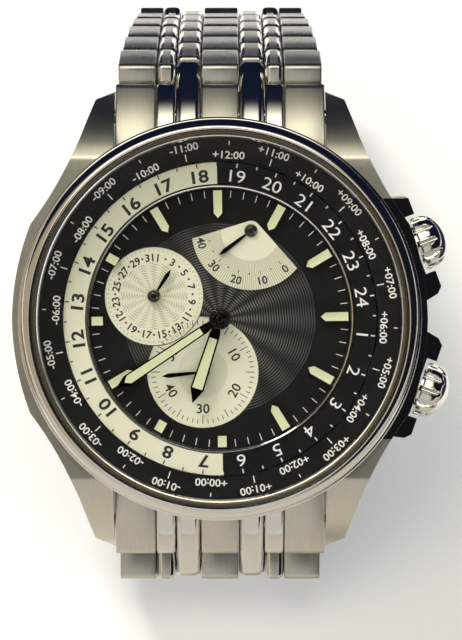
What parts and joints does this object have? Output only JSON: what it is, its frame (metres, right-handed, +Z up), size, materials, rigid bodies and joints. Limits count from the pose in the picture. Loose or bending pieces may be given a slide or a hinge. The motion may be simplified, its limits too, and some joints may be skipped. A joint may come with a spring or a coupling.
{
  "type": "world time watch",
  "caption": "Automatic world time watch with turning rings, sub-dials, fluted crowns and a closed steel link bracelet with a fold-over clasp.",
  "frame": {"origin": "on the table, in the middle of the clasp cover's outer face", "axes": "+X towards 3 o'clock, +Y away from the viewer along the bracelet, +Z up; the dial leans back and faces -Y and +Z"},
  "size_m": [0.046, 0.074, 0.0424],
  "materials": {
    "satin_steel": "satin brushed",
    "polished_steel": "mirror polished",
    "dark_steel": "dark polished",
    "crystal_glass": "clear",
    "gasket_rubber": "smooth",
    "ring_black": "matte print",
    "ring_cream": "matte print",
    "dial_black": "guilloche under lacquer",
    "subdial_cream": "fine grooves under lacquer",
    "movement_brass": "plain"
  },
  "bodies": {
    "case": {"mid_case": "satin_steel", "bezel": "polished_steel", "crystal": "crystal_glass", "crystal_gasket": "gasket_rubber", "case_back": "satin_steel", "case_back_gasket": "gasket_rubber", "movement_holder": "polished_steel", "dial": "dial_black", "dial_rim": "polished_steel", "seconds_dial": "subdial_cream", "date_dial": "subdial_cream", "reserve_fan": "subdial_cream", "hour_markers": "polished_steel", "crown_tubes": "polished_steel", "main_plate": "movement_brass", "train_bridge": "polished_steel", "balance_cock": "polished_steel", "rear_end_link": "satin_steel", "front_end_link": "satin_steel", "spring_bars": "polished_steel"},
    "minute_hand": {"minute_hand": "dark_steel"},
    "hour_hand": {"hour_hand": "dark_steel"},
    "day_ring": {"day_ring": "ring_cream"},
    "date_hand": {"date_hand": "dark_steel"},
    "seconds_hand": {"seconds_hand": "dark_steel", "fourth_wheel": "movement_brass"},
    "centre_wheel": {"centre_wheel": "movement_brass"},
    "third_wheel": {"third_wheel": "movement_brass"},
    "mainspring_barrel": {"mainspring_barrel": "movement_brass"},
    "escape_wheel": {"escape_wheel": "movement_brass"},
    "pallet_lever": {"pallet_lever": "movement_brass"},
    "balance_wheel": {"balance_wheel": "movement_brass"},
    "reserve_hand": {"reserve_hand": "dark_steel"},
    "rotor": {"rotor": "polished_steel"},
    "ring_crown": {"ring_crown": "polished_steel", "ring_stem": "polished_steel"},
    "city_ring": {"city_ring": "ring_black"},
    "winding_stem": {"winding_stem": "polished_steel"},
    "winding_crown": {"winding_crown": "polished_steel"},
    "rear_link_1": {"rear_link_1": "satin_steel"},
    "rear_link_2": {"rear_link_2": "satin_steel"},
    "rear_link_3": {"rear_link_3": "satin_steel"},
    "rear_link_4": {"rear_link_4": "satin_steel"},
    "rear_link_5": {"rear_link_5": "satin_steel"},
    "rear_link_6": {"rear_link_6": "satin_steel"},
    "rear_link_7": {"rear_link_7": "satin_steel"},
    "front_link_1": {"front_link_1": "satin_steel"},
    "front_link_2": {"front_link_2": "satin_steel"},
    "front_link_3": {"front_link_3": "satin_steel"},
    "front_link_4": {"front_link_4": "satin_steel"},
    "inner_blade": {"inner_blade": "satin_steel"},
    "outer_blade": {"outer_blade": "satin_steel"},
    "clasp_cover": {"clasp_cover": "satin_steel"}
  },
  "joints": [
    {"name": "minute_hand_turn", "type": "hinge", "parent": "case", "child": "minute_hand", "pos_m": [0, -0.02939, 0.0285], "axis": [0, -0.5981, 0.8014], "continuous": true},
    {"name": "hour_hand_turn", "type": "hinge", "parent": "case", "child": "hour_hand", "pos_m": [0, -0.02909, 0.0281], "axis": [0, -0.5981, 0.8014], "continuous": true},
    {"name": "day_ring_turn", "type": "hinge", "parent": "case", "child": "day_ring", "pos_m": [0, -0.02894, 0.0279], "axis": [0, -0.5981, 0.8014], "continuous": true},
    {"name": "date_hand_turn", "type": "hinge", "parent": "case", "child": "date_hand", "pos_m": [-0.00683, -0.02694, 0.02914], "axis": [0, -0.5981, 0.8014], "continuous": true},
    {"name": "seconds_hand_turn", "type": "hinge", "parent": "case", "child": "seconds_hand", "pos_m": [-0.00177, -0.03324, 0.02444], "axis": [0, -0.5981, 0.8014], "continuous": true},
    {"name": "centre_wheel_turn", "type": "hinge", "parent": "case", "child": "centre_wheel", "pos_m": [0, -0.02667, 0.02486], "axis": [0, -0.5981, 0.8014], "continuous": true},
    {"name": "third_wheel_turn", "type": "hinge", "parent": "case", "child": "third_wheel", "pos_m": [0.0034, -0.03003, 0.02234], "axis": [0, -0.5981, 0.8014], "continuous": true},
    {"name": "barrel_turn", "type": "hinge", "parent": "case", "child": "mainspring_barrel", "pos_m": [-0.0069, -0.02338, 0.02731], "axis": [0, -0.5981, 0.8014], "continuous": true},
    {"name": "escape_wheel_turn", "type": "hinge", "parent": "case", "child": "escape_wheel", "pos_m": [-0.0056, -0.03308, 0.02007], "axis": [0, -0.5981, 0.8014], "continuous": true},
    {"name": "pallet_lever_rock", "type": "hinge", "parent": "case", "child": "pallet_lever", "pos_m": [-0.003, -0.03492, 0.0187], "axis": [0, -0.5981, 0.8014], "range_deg": [-6, 6]},
    {"name": "balance_wheel_swing", "type": "hinge", "parent": "case", "child": "balance_wheel", "pos_m": [0.0018, -0.03502, 0.019], "axis": [0, -0.5981, 0.8014], "range_deg": [-135, 135]},
    {"name": "reserve_hand_swing", "type": "hinge", "parent": "case", "child": "reserve_hand", "pos_m": [0.00321, -0.02152, 0.03319], "axis": [0, -0.5981, 0.8014], "range_deg": [-22, 98]},
    {"name": "rotor_turn", "type": "hinge", "parent": "case", "child": "rotor", "pos_m": [0, -0.02523, 0.02293], "axis": [0, -0.5981, 0.8014], "continuous": true},
    {"name": "ring_crown_turn", "type": "hinge", "parent": "case", "child": "ring_crown", "pos_m": [0.02061, -0.02091, 0.03003], "axis": [0.9367, 0.2807, 0.2095], "continuous": true},
    {"name": "city_ring_turn", "type": "hinge", "parent": "case", "child": "city_ring", "pos_m": [0, -0.02912, 0.02814], "axis": [0, -0.5981, 0.8014], "continuous": true},
    {"name": "winding_crown_pull", "type": "slide", "parent": "case", "child": "winding_stem", "axis": [0.9455, -0.2609, -0.1947], "range_m": [0, 0.001]},
    {"name": "winding_crown_turn", "type": "hinge", "parent": "winding_stem", "child": "winding_crown", "pos_m": [0.0208, -0.03282, 0.02113], "axis": [0.9455, -0.2609, -0.1947], "continuous": true},
    {"name": "rear_link_1_bend", "type": "hinge", "parent": "case", "child": "rear_link_1", "pos_m": [0, -0.00451, 0.03814], "axis": [1, 0, 0], "range_deg": [0, 72.74]},
    {"name": "rear_link_2_bend", "type": "hinge", "parent": "rear_link_1", "child": "rear_link_2", "pos_m": [0, 0.00163, 0.03368], "axis": [1, 0, 0], "range_deg": [0, 2]},
    {"name": "rear_link_3_bend", "type": "hinge", "parent": "rear_link_2", "child": "rear_link_3", "pos_m": [0, 0.00762, 0.029], "axis": [1, 0, 0], "range_deg": [0, 2]},
    {"name": "rear_link_4_bend", "type": "hinge", "parent": "rear_link_3", "child": "rear_link_4", "pos_m": [0, 0.01344, 0.02411], "axis": [1, 0, 0], "range_deg": [0, 2]},
    {"name": "rear_link_5_bend", "type": "hinge", "parent": "rear_link_4", "child": "rear_link_5", "pos_m": [0, 0.01909, 0.01903], "axis": [1, 0, 0], "range_deg": [0, 2]},
    {"name": "rear_link_6_bend", "type": "hinge", "parent": "rear_link_5", "child": "rear_link_6", "pos_m": [0, 0.02456, 0.01375], "axis": [1, 0, 0], "range_deg": [0, 50]},
    {"name": "rear_link_7_bend", "type": "hinge", "parent": "rear_link_6", "child": "rear_link_7", "pos_m": [0, 0.02403, 0.00617], "axis": [1, 0, 0], "range_deg": [0, 50]},
    {"name": "front_link_1_bend", "type": "hinge", "parent": "case", "child": "front_link_1", "pos_m": [0, -0.04571, 0.0074], "axis": [1, 0, 0], "range_deg": [-94.66, 0]},
    {"name": "front_link_2_bend", "type": "hinge", "parent": "front_link_1", "child": "front_link_2", "pos_m": [0, -0.04068, 0.0017], "axis": [1, 0, 0], "range_deg": [-48.6, 0]},
    {"name": "front_link_3_bend", "type": "hinge", "parent": "front_link_2", "child": "front_link_3", "pos_m": [0, -0.03308, 0.0017], "axis": [1, 0, 0], "range_deg": [0, 12]},
    {"name": "front_link_4_bend", "type": "hinge", "parent": "front_link_3", "child": "front_link_4", "pos_m": [0, -0.02548, 0.0017], "axis": [1, 0, 0], "range_deg": [0, 12]},
    {"name": "inner_blade_bend", "type": "hinge", "parent": "front_link_4", "child": "inner_blade", "pos_m": [0, -0.01788, 0.0017], "axis": [1, 0, 0], "range_deg": [0, 12]},
    {"name": "outer_blade_open", "type": "hinge", "parent": "inner_blade", "child": "outer_blade", "pos_m": [0, 0.01268, 0.0019], "axis": [1, 0, 0], "range_deg": [0, 130]},
    {"name": "clasp_cover_open", "type": "hinge", "parent": "outer_blade", "child": "clasp_cover", "pos_m": [0, -0.01348, 0.0014], "axis": [1, 0, 0], "range_deg": [-130, 0]}
  ],
  "couplings": [
    {"joint": "hour_hand_turn", "follows": "minute_hand_turn", "ratio": 0.083333},
    {"joint": "day_ring_turn", "follows": "minute_hand_turn", "ratio": -0.041667},
    {"joint": "date_hand_turn", "follows": "minute_hand_turn", "ratio": 0.0013441},
    {"joint": "centre_wheel_turn", "follows": "seconds_hand_turn", "ratio": 0.016667},
    {"joint": "third_wheel_turn", "follows": "seconds_hand_turn", "ratio": -0.13333},
    {"joint": "barrel_turn", "follows": "seconds_hand_turn", "ratio": -0.0020833},
    {"joint": "escape_wheel_turn", "follows": "seconds_hand_turn", "ratio": -10},
    {"joint": "city_ring_turn", "follows": "ring_crown_turn", "ratio": -0.17733},
    {"joint": "clasp_cover_open", "follows": "outer_blade_open", "ratio": -1}
  ]
}
